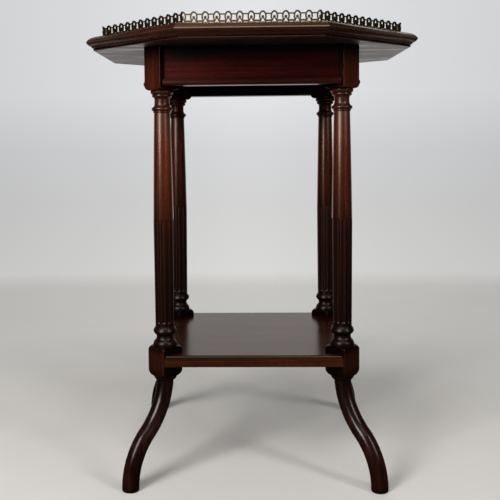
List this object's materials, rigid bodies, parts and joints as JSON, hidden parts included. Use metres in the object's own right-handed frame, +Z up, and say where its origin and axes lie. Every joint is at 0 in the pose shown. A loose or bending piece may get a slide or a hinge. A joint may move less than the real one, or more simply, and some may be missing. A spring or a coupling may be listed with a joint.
{
  "type": "two-tier side table",
  "caption": "Octagonal two-tier side table in polished mahogany: brass-galleried top on a square frieze, turned and part-fluted legs, square undertier and out-curved round feet.",
  "frame": {"origin": "on the floor, under the middle of the table", "axes": "+Z up; the front of the table faces -Y and +X is to its right as seen from the front"},
  "size_m": [0.5272, 0.5272, 0.7222],
  "materials": {
    "mahogany": "old French polish, dark red-brown, glossy and slightly worn on the arrises",
    "secondary_wood": "plain planed wood, unpolished",
    "gallery_brass": "aged, dull in the hollows with rubbed edges",
    "screw_steel": "plain, dulled by age"
  },
  "bodies": {
    "root": {"top_board": "mahogany", "gallery_front": "gallery_brass", "gallery_front_right": "gallery_brass", "gallery_right": "gallery_brass", "gallery_back_right": "gallery_brass", "gallery_back": "gallery_brass", "gallery_back_left": "gallery_brass", "gallery_left": "gallery_brass", "gallery_front_left": "gallery_brass", "rail_front": "mahogany", "rail_right": "mahogany", "rail_back": "mahogany", "rail_left": "mahogany", "bead_front": "mahogany", "bead_right": "mahogany", "bead_back": "mahogany", "bead_left": "mahogany", "fixing_block_front": "secondary_wood", "fixing_block_right": "secondary_wood", "fixing_block_back": "secondary_wood", "fixing_block_left": "secondary_wood", "leg_front_right": "mahogany", "leg_back_right": "mahogany", "leg_back_left": "mahogany", "leg_front_left": "mahogany", "foot_front_right": "mahogany", "foot_back_right": "mahogany", "foot_back_left": "mahogany", "foot_front_left": "mahogany", "undertier": "mahogany", "top_screws": "screw_steel", "undertier_dowels": "secondary_wood"}
  },
  "joints": []
}
